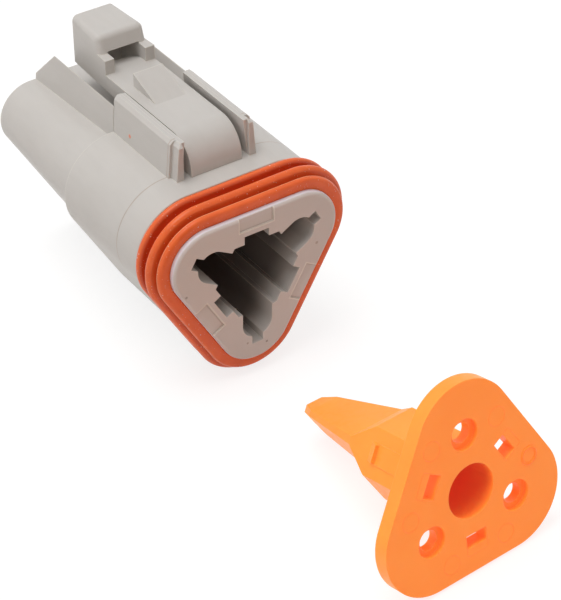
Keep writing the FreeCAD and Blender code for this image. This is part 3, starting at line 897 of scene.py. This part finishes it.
@dataclass
class MatingSeal:
    """Soft ring round the nose with three round ribs, in place of its plain solid."""

    flat: float = 9.1
    corner: float = 5.2
    rear: float = 5.6
    front: float = 0.84
    band: float = 0.8
    foot: float = 0.22
    ribs: tuple[Rib, ...] = (Rib(4.65, 2.35, 0.55), Rib(2.45, 2.45, 0.55), Rib(1.08, 1.60, 0.38))
    trough: Span = (1.68, 1.05)
    trough_radius: float = 0.20
    front_arc: Span = (10.0, 160.0)
    undercut: tuple[Span, ...] = ((0.68, 1.10), (0.72, 0.80), (0.77, 0.45), (0.84, 0.20))
    flash: float = 0.10
    flash_angle: float = 58.0
    flash_spread: float = 9.0
    ripple: float = 0.035
    waves: tuple[tuple[int, float], ...] = ((3, 0.6), (7, 2.1))
    # Where painted shade darkens the grooves: station and half width of each.
    grooves: tuple[Span, ...] = ((3.70, 0.80), (1.66, 0.30))
    foot_steps: int = 4
    rib_steps: int = 14
    trough_steps: int = 8
    front_steps: int = 30
    finish: SealRubber = SealRubber()

    def profile(self) -> np.ndarray:
        """Closed outline of the ring's wall, from its rear inner edge round the outside.

        Each rib is a half circle on two short upright flanks, and a quarter circle of radius
        foot joins a flank to the band. A half circle makes the trough before the front rib,
        which runs back under itself to the nose.

        Returns:
            Rows of (station, height above the nose).
        """
        rear, middle, front = self.ribs
        parts = [
            np.array([[self.rear, 0.0]]),
            arc((self.rear - self.foot, self.band - self.foot), self.foot, 0, 90,
                self.foot_steps),
            *self.upright(rear),
            *self.upright(middle)[:2],
            arc(self.trough, self.trough_radius, 360, 180, self.trough_steps),
            self.flashed(front),
            np.array([*self.undercut, (self.front, 0.0)]),
        ]
        return np.vstack(parts)

    def upright(self, rib: Rib) -> list[np.ndarray]:
        """Rib from rear to front: a foot's arc, the half circle and the other foot's arc."""
        side, height, steps = rib.radius + self.foot, self.band + self.foot, self.foot_steps
        return [
            arc((rib.station + side, height), self.foot, 270, 180, steps),
            arc((rib.station, rib.crest - rib.radius), rib.radius, 0, 180, self.rib_steps),
            arc((rib.station - side, height), self.foot, 360, 270, steps),
        ]

    def flashed(self, rib: Rib) -> np.ndarray:
        """Arc of a rib whose radius swells in one narrow bell, the mould's flash line.

        Radius = the rib's radius + flash * exp(-((angle - flash_angle) / flash_spread) ** 2).

        Args:
            rib: the rib.

        Returns:
            Rows of (station, height).
        """
        turn = np.linspace(*self.front_arc, self.front_steps + 1)
        bell = self.flash * np.exp(-((turn - self.flash_angle) / self.flash_spread) ** 2)
        middle = np.array([rib.station, rib.crest - rib.radius])
        return middle + (rib.radius + bell)[:, None] * ray(turn)

    def build(self) -> None:
        """Makes the ring: the wall's outline carried round the nose, a little uneven.

        A point sinks by ripple, times the square of its height's share of the crest's, times
        a wave round the nose: the mean of one and of two sines' mean.
        """
        path, ways = rounded_triangle(self.flat, self.corner, arc_steps=30, side_steps=26)
        grid = swept(path, ways, self.profile())
        turn = np.arctan2(path[:, 1], path[:, 0])[:, None]
        sines = [np.sin(count * turn + start) for count, start in self.waves]
        wave = 0.5 + 0.5 * np.mean(sines, axis=0)
        height = self.profile()[None, :, 1]
        sink = self.ripple * wave * np.clip(height / self.ribs[1].crest, 0, 1) ** 2
        grid[..., 0] -= ways[:, None, 0] * sink
        grid[..., 2] -= ways[:, None, 1] * sink
        piece = mesh_piece("mating_seal_ring", [(grid, True, True)], Body.PLUG)
        front = self.ribs[2]
        turn = math.radians(self.flash_angle)
        station = front.station + (front.radius + self.flash) * math.cos(turn)
        dress(piece, self.finish.material("rubber_ring", station, self.grooves))
        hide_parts("mating_seal")
        log.info("mating_seal_ring: %d faces", len(piece.data.polygons))


@dataclass
class WireSeal:
    """Soft block behind the contacts, with beaded sides and a lip round each wire bore."""

    flat: float = 7.1
    corner: float = 3.0
    front: float = 26.8
    rear: float = 40.6
    bead: float = 0.5
    bead_half: float = 0.62
    bead_round: float = 0.7
    beads: int = 3
    bore_circle: float = 7.3
    bore: float = 1.0
    groove: float = 0.22
    grooves: int = 5
    lip: float = 0.32
    lip_width: float = 0.8
    lip_clear: float = 0.2
    side_stations: int = 97
    bore_sides: int = 96
    bore_stations: int = 61
    lip_steps: int = 8
    face_steps: int = 4
    finish: SealRubber = SealRubber()

    def side(self) -> np.ndarray:
        """Outer wall: beads evenly spaced, each the arch of half a wave made rounder.

        Returns:
            Grid of points (u, v, 3).
        """
        path, ways = rounded_triangle(self.flat, self.corner, arc_steps=16, side_steps=2)
        station = np.linspace(self.front, self.rear, self.side_stations)
        length = self.rear - self.front
        height = np.zeros_like(station)
        for number in range(self.beads):
            middle = self.front + length * (number + 0.5) / self.beads
            away = np.clip((station - middle) / self.bead_half, -1, 1)
            wave = np.cos(away * math.pi / 2) ** self.bead_round
            height = np.maximum(height, self.bead * wave)
        return swept(path, ways, np.stack([station, height], axis=-1))

    def third(self, angle: float, outside: int) -> np.ndarray:
        """One third of an end face: rays from the bore's rim to the third's own border.

        A ray's length is the nearest of the two flat sides, the two borders between thirds
        and the corner's arc. A lip of one wave, sin squared, rises next to the bore.

        Args:
            angle: direction of the corner, in degrees.
            outside: -1 on the front face and 1 on the rear one.

        Returns:
            Grid of points (u, v, 3).
        """
        centre = self.bore_circle * ray(angle)
        way = self.rays(angle)
        limits = []
        for turn, reach in ((-HALF_CORNER, self.flat), (HALF_CORNER, self.flat),
                            (-HALF_CORNER - 90, 0.0), (HALF_CORNER + 90, 0.0)):
            normal = ray(angle + turn)
            speed = way @ normal
            gap = reach - centre @ normal
            limits.append(np.where(speed > TINY, gap / np.maximum(speed, TINY), np.inf))
        reach = np.min(limits, axis=0)
        middle = 2 * (self.flat - self.corner) * ray(angle)
        offset = centre - middle
        half = way @ offset
        circle = -half + np.sqrt(np.maximum(half**2 - offset @ offset + self.corner**2, 0))
        hit = offset + way * circle[:, None]
        in_arc = hit @ ray(angle) >= self.corner * math.cos(math.radians(HALF_CORNER)) - TINY
        reach = np.where(in_arc, circle, reach)
        near = self.bore + np.linspace(0, self.lip_width, self.lip_steps + 1)
        far = np.linspace(0, 1, self.face_steps + 1)[1:]
        inner = np.broadcast_to(near, (self.bore_sides, near.size))
        outer = near[-1] + (reach[:, None] - near[-1]) * far
        distance = np.concatenate([inner, np.maximum(outer, inner[:, -1:])], axis=1)
        distance = np.minimum(distance, np.maximum(reach[:, None], self.bore))
        rise = np.sin(math.pi * np.clip((distance - self.bore) / self.lip_width, 0, 1)) ** 2
        flat = centre + way[:, None, :] * distance[..., None]
        face = self.front if outside < 0 else self.rear
        room = np.clip((reach[:, None] - distance) / self.lip_clear, 0, 1)
        station = face + outside * self.lip * rise * room
        return np.stack([flat[..., 0], station, flat[..., 1]], axis=-1)

    def rays(self, angle: float) -> np.ndarray:
        """Unit directions all round a bore, the first of them at an angle in degrees."""
        return ray(angle + np.arange(self.bore_sides) * 360 / self.bore_sides)

    def bore_wall(self, angle: float) -> np.ndarray:
        """Bore with rounded grooves: radius = bore + groove * |sin| of the station.

        Args:
            angle: direction of the corner, in degrees.

        Returns:
            Grid of points (u, v, 3).
        """
        centre = self.bore_circle * ray(angle)
        way = self.rays(angle)
        share = np.linspace(0, 1, self.bore_stations)
        radius = self.bore + self.groove * np.abs(np.sin(math.pi * self.grooves * share))
        flat = centre + way[:, None, :] * radius[None, :, None]
        station = np.broadcast_to(self.front + (self.rear - self.front) * share, flat.shape[:2])
        return np.stack([flat[..., 0], station, flat[..., 1]], axis=-1)

    def build(self) -> None:
        """Joins the side, both ends and the three bores in one piece."""
        sheets = [(self.side(), True, False)]
        for angle in CORNERS:
            sheets.append((self.third(angle, -1), True, False))
            sheets.append((self.third(angle, 1), True, False))
            sheets.append((self.bore_wall(angle), True, False))
        piece = mesh_piece("wire_seal_block", sheets, Body.PLUG)
        dress(piece, self.finish.material("rubber_block"))
        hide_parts("wire_seal")
        log.info("wire_seal_block: %d faces", len(piece.data.polygons))


@dataclass
class WedgeLock:
    """Orange lock: its solid's own shape, with the fine raised marks of its mould."""

    place: Point = (0.5, -41.5, -4.938)
    yaw: float = 3.5
    pitch: float = -13.0
    pin_circle: float = 8.85
    faint_angles: tuple[float, ...] = (57.1, 122.7, 178.4, 243.7, 298.8)
    clear_angle: float = 2.7
    mark_radius: float = 1.18
    faint_tube: float = 0.032
    clear_tube: float = 0.17
    clear_inset: float = 0.15
    cord_sides: int = 10
    ring_points: int = 48
    frame_points: int = 64
    frame_power: float = 0.12
    frame_half: float = 1.55
    frame_inner: float = 5.36
    frame_outer: float = 8.1
    bore: float = 3.5
    rim: float = 10.25
    finish: LockPlastic = LockPlastic()
    # Painted shade: a darker copy of the lock's finish, with a dimmer painted glow, for the
    # raised marks.
    painted_shade_mark_finish: LockPlastic = LockPlastic(
        colour=(0.90, 0.25, 0.02), pale=(0.94, 0.28, 0.025), painted_glow=(0.88, 0.14, 0.035))

    def stance(self) -> Matrix:
        """How the lock lies: tipped about its own X, turned about Z and moved to its place.

        Returns:
            The matrix, in millimetres.
        """
        turn = Matrix.Rotation(math.radians(self.yaw), 4, "Z")
        tip = Matrix.Rotation(math.radians(self.pitch), 4, "X")
        return Matrix.Translation(Vector(self.place)) @ turn @ tip

    def ridge(self, path: np.ndarray, ways: np.ndarray, tube: float) -> np.ndarray:
        """Thin cord half sunk in the flange's face along a closed path.

        Point (u, v) is path u plus tube * (cos v * outward, sin v * straight out).

        Args:
            path: points (x, z) on the face.
            ways: their outward directions.
            tube: the cord's radius.

        Returns:
            Grid of points (u, v, 3), laid down with the lock.
        """
        turn = np.linspace(0, 2 * math.pi, self.cord_sides, endpoint=False)
        flat = path[:, None, :] + tube * np.cos(turn)[None, :, None] * ways[:, None, :]
        out = np.broadcast_to(-tube * np.sin(turn), flat.shape[:2])
        local = np.stack([flat[..., 0], out, flat[..., 1]], axis=-1)
        stance = np.array(self.stance())
        return local @ stance[:3, :3].T + stance[:3, 3]

    def ring(self, angle: float, radius: float, tube: float) -> np.ndarray:
        """Round ridge at a direction on the pin circle."""
        ways = ray(np.linspace(0, 360, self.ring_points, endpoint=False))
        return self.ridge(self.pin_circle * ray(angle) + radius * ways, ways, tube)

    def frame_line(self, angle: float, tube: float) -> np.ndarray:
        """Ridge round a port: a rectangle with small round corners, turned to its side.

        A point is sign * |cos| and |sin| to the power frame_power, times the half lengths.

        Args:
            angle: direction of the port, in degrees.
            tube: the cord's radius.

        Returns:
            Grid of points (u, v, 3).
        """
        middle = (self.frame_inner + self.frame_outer) / 2
        tall = (self.frame_outer - self.frame_inner) / 2
        ways = ray(np.linspace(0, 360, self.frame_points, endpoint=False))
        power = np.abs(ways) ** self.frame_power
        shape = np.sign(ways) * power * np.array([tall, self.frame_half])
        outward, across = ray(angle), ray(angle + 90)
        points = (middle + shape[:, :1]) * outward + shape[:, 1:] * across
        return self.ridge(points, ways[:, :1] * outward + ways[:, 1:] * across, tube)

    def build(self) -> None:
        """Dresses the solid and lays the moulded marks on its face."""
        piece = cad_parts["wedge_lock"]
        stand = (self.place, (math.radians(self.pitch), 0.0, math.radians(self.yaw)),
                 self.bore, self.rim)
        dress(piece, self.finish.material("plastic_lock", *stand))
        log.info("wedge_lock: orange plastic, %d faces", len(piece.data.polygons))
        rings = [self.ring(angle, self.mark_radius, self.faint_tube)
                 for angle in self.faint_angles]
        rings.append(self.ring(self.clear_angle, self.mark_radius - self.clear_inset,
                               self.clear_tube))
        rings += [self.frame_line(angle, self.faint_tube) for angle in CORNERS]
        marks = mesh_piece("lock_mould_marks", [(grid, True, True) for grid in rings],
                           Body.PLUG)
        # The marks wear the darker copy: painted shade.
        dress(marks, self.painted_shade_mark_finish.material("plastic_marks_painted_shade", *stand))
        log.info("lock_mould_marks: %d faces", len(marks.data.polygons))


# Studio.


@dataclass(frozen=True)
class Panel:
    """Square soft lamp: where it hangs, its side in metres, its level and its tint.

    The level is the share of a white card's full tone that the panel gives a card that
    faces it at the object: power = level * pi squared * distance squared.
    """

    name: str
    place: Point
    side: float
    level: float
    tint: Colour = (1.0, 1.0, 1.0)

    def build(self, aim: Vector) -> None:
        """Hangs the lamp and turns it to the object.

        Args:
            aim: the point that it faces, in metres.
        """
        where = Vector(self.place)
        lamp = bpy.data.lights.new(self.name, "AREA")
        lamp.shape = "SQUARE"
        lamp.size = self.side
        lamp.color = self.tint
        lamp.energy = self.level * math.pi**2 * (where - aim).length_squared
        holder = bpy.data.objects.new(self.name, lamp)
        holder.location = where
        holder.rotation_euler = (aim - where).to_track_quat("-Z", "Y").to_euler()
        bpy.context.scene.collection.objects.link(holder)


@dataclass
class Studio:
    """Pale floor, soft light and the camera at the photograph's angle."""

    eye: Point = (-119.11, -177.09, 158.34)
    right: Point = (0.8220, -0.5695, -0.0007)
    down: Point = (-0.3452, -0.4973, -0.7960)
    focal_pixels: float = 2172.24
    image_height: int = 600
    sensor_height: float = 24.0
    clip: Span = (0.01, 20.0)
    aim: Point = (0.0, -0.005, 0.0)
    floor_height: float = -15.45
    floor_half: float = 2.0
    floor_card: Colour = (0.70, 0.67, 0.64)
    floor_shade: Colour = (0.30, 0.30, 0.30)
    floor_white: float = 0.79
    ambient: float = 0.56
    white: Colour = (1.0, 1.0, 1.0)
    front_light: Colour = (0.46, 0.37, 0.31)
    front_to_back: Span = (-0.85, 0.15)
    panels: tuple[Panel, ...] = (
        Panel("key", (-0.18, 0.02, 0.82), 0.50, 0.49),
        Panel("side", (-0.80, 0.10, 0.22), 0.45, 0.07),
        Panel("front_fill", (0.20, -0.85, 0.15), 0.40, 0.02, (1.0, 0.84, 0.72)),
    )

    def camera(self) -> None:
        """Sets the camera from its eye point and its right and down directions."""
        right = Vector(self.right).normalized()
        up = -Vector(self.down)
        up = (up - right * up.dot(right)).normalized()
        back = right.cross(up)
        turn = Matrix((right, up, back)).transposed().to_4x4()
        lens = bpy.data.cameras.new("camera")
        lens.sensor_fit = "VERTICAL"
        lens.sensor_height = self.sensor_height
        lens.lens = self.focal_pixels * self.sensor_height / self.image_height
        lens.clip_start, lens.clip_end = self.clip
        holder = bpy.data.objects.new("camera", lens)
        holder.matrix_world = Matrix.Translation(Vector(self.eye) * MM) @ turn
        bpy.context.scene.collection.objects.link(holder)
        bpy.context.scene.camera = holder

    def world(self) -> None:
        """Soft light from all round, dimmer and warmer from the front, on a white background.

        The light's colour goes from front to back with the Y part of its direction.
        """
        world = bpy.data.worlds.new("studio")
        world.use_nodes = True
        nodes = Nodes(world.node_tree)
        way = nodes.add("ShaderNodeTexCoord").outputs["Generated"]
        share = nodes.add("ShaderNodeMapRange", {
            0: nodes.add("ShaderNodeSeparateXYZ", {0: way}).outputs["Y"],
            1: self.front_to_back[0], 2: self.front_to_back[1]})
        colour = nodes.mix(share.outputs[0], self.front_light, self.white)
        light = nodes.add("ShaderNodeBackground", {0: colour, 1: self.ambient})
        shown = nodes.add("ShaderNodeBackground", {0: paint(self.white)})
        nodes.either("ShaderNodeOutputWorld", shown.outputs[0], light.outputs[0])
        bpy.context.scene.world = world

    def floor(self) -> None:
        """Plain floor: pale where it bounces light, white with a soft shadow where seen."""
        half = self.floor_half
        corners = [(-half, -half), (half, -half), (half, half), (-half, half)]
        mesh = bpy.data.meshes.new("floor")
        mesh.from_pydata([(x, y, self.floor_height * MM) for x, y in corners], [],
                         [(0, 1, 2, 3)])
        board = bpy.data.objects.new("floor", mesh)
        bpy.context.scene.collection.objects.link(board)
        material = bpy.data.materials.new("pale_floor")
        material.use_nodes = True
        nodes = Nodes(material.node_tree)
        card = nodes.add("ShaderNodeBsdfDiffuse", {0: paint(self.floor_card)})
        shade = nodes.add("ShaderNodeBsdfDiffuse", {0: paint(self.floor_shade)})
        white = nodes.add("ShaderNodeEmission", {1: self.floor_white})
        seen = nodes.add("ShaderNodeAddShader", {0: shade.outputs[0], 1: white.outputs[0]})
        nodes.either("ShaderNodeOutputMaterial", seen.outputs[0], card.outputs[0])
        mesh.materials.append(material)

    def build(self) -> None:
        """Sets up the camera, the light and the floor."""
        self.camera()
        self.world()
        self.floor()
        for panel in self.panels:
            panel.build(Vector(self.aim))
        bpy.context.scene.view_settings.view_transform = "Standard"
        log.info("studio: camera, floor and %d panels", len(self.panels))


def main() -> None:
    """Builds the studio and every sub-assembly."""
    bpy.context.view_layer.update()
    Studio().build()
    for assembly in (Housing(), WingLips(), MatingSeal(), WireSeal(), WedgeLock()):
        assembly.build()


if __name__ == "__main__":
    main()
